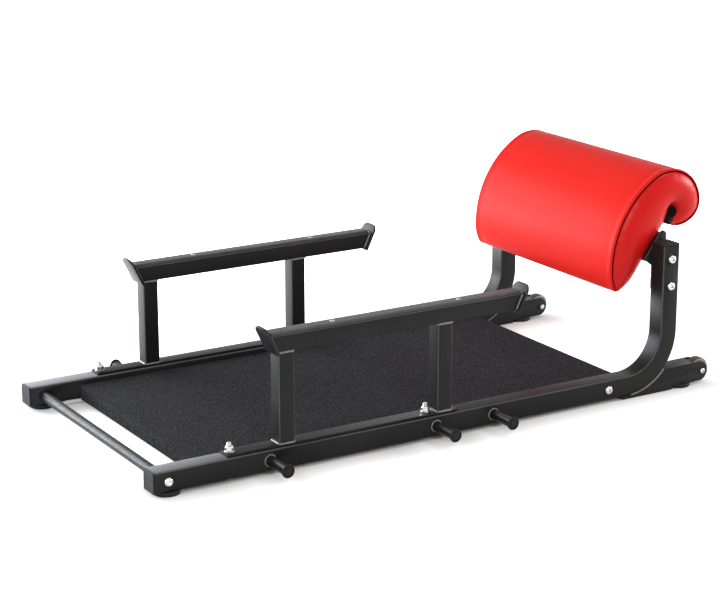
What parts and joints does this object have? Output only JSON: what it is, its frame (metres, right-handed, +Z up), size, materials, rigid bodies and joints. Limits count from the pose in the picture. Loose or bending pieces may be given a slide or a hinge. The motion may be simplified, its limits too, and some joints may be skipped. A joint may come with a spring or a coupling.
{
  "type": "hip thrust bench",
  "caption": "Low hip thrust bench: bent square-tube rails around a rubber mat, raised bar-rest stands, band pegs, transport wheels and a red rolled-top back pad.",
  "frame": {"origin": "on the floor, under the middle of the bench's bounding box", "axes": "+X from the foot end towards the back pad, +Z up, -Y the left side of a person leaning on the pad"},
  "size_m": [1.591, 0.912, 0.5569],
  "materials": {
    "frame": "satin black powder coat",
    "plastic": "satin",
    "strip": "satin",
    "steel": "bright zinc",
    "mat": "fine grained, matt",
    "rubber": "matt",
    "wheel": "satin",
    "cushion": "semi-gloss red vinyl",
    "board": "matt black cloth"
  },
  "bodies": {
    "bench": {"band_peg_front_left": "frame", "band_peg_front_right": "frame", "band_peg_middle_left": "frame", "band_peg_middle_right": "frame", "band_peg_rear_left": "frame", "band_peg_rear_right": "frame", "beam_end_plate_front_left": "frame", "beam_end_plate_front_right": "frame", "beam_end_plate_rear_left": "frame", "beam_end_plate_rear_right": "frame", "bracket_bolt_lower_left": "steel", "bracket_bolt_lower_right": "steel", "bracket_bolt_upper_left": "steel", "bracket_bolt_upper_right": "steel", "floor_mat": "mat", "foot_cross_bolt_left": "steel", "foot_cross_bolt_right": "steel", "foot_cross_tube": "frame", "head_cross_bolt_left": "steel", "head_cross_bolt_right": "steel", "head_cross_strap": "frame", "pad_board": "board", "pad_bracket_left": "frame", "pad_bracket_right": "frame", "pad_cushion": "cushion", "rail_end_cap_left": "plastic", "rail_end_cap_right": "plastic", "rest_beam_left": "frame", "rest_beam_right": "frame", "rubber_foot_front_left": "rubber", "rubber_foot_front_right": "rubber", "rubber_foot_rear_left": "rubber", "rubber_foot_rear_right": "rubber", "side_rail_left": "frame", "side_rail_right": "frame", "stand_base_bar_left": "frame", "stand_base_bar_right": "frame", "stand_bolt_front_left": "steel", "stand_bolt_front_right": "steel", "stand_bolt_rear_left": "steel", "stand_bolt_rear_right": "steel", "stand_nut_front_left": "steel", "stand_nut_front_right": "steel", "stand_nut_rear_left": "steel", "stand_nut_rear_right": "steel", "stand_post_front_left": "frame", "stand_post_front_right": "frame", "stand_post_rear_left": "frame", "stand_post_rear_right": "frame", "upright_cap_left": "plastic", "upright_cap_right": "plastic", "wear_strip_left": "strip", "wear_strip_right": "strip", "wheel_arm_left": "frame", "wheel_arm_right": "frame", "wheel_bolt_left": "steel", "wheel_bolt_right": "steel"},
    "wheel_left": {"transport_wheel_left": "wheel"},
    "wheel_right": {"transport_wheel_right": "wheel"}
  },
  "joints": [
    {"name": "wheel_left_spin", "type": "hinge", "parent": "bench", "child": "wheel_left", "pos_m": [0.763, -0.348, 0.035], "axis": [0, 1, 0], "continuous": true},
    {"name": "wheel_right_spin", "type": "hinge", "parent": "bench", "child": "wheel_right", "pos_m": [0.763, 0.348, 0.035], "axis": [0, 1, 0], "continuous": true}
  ]
}
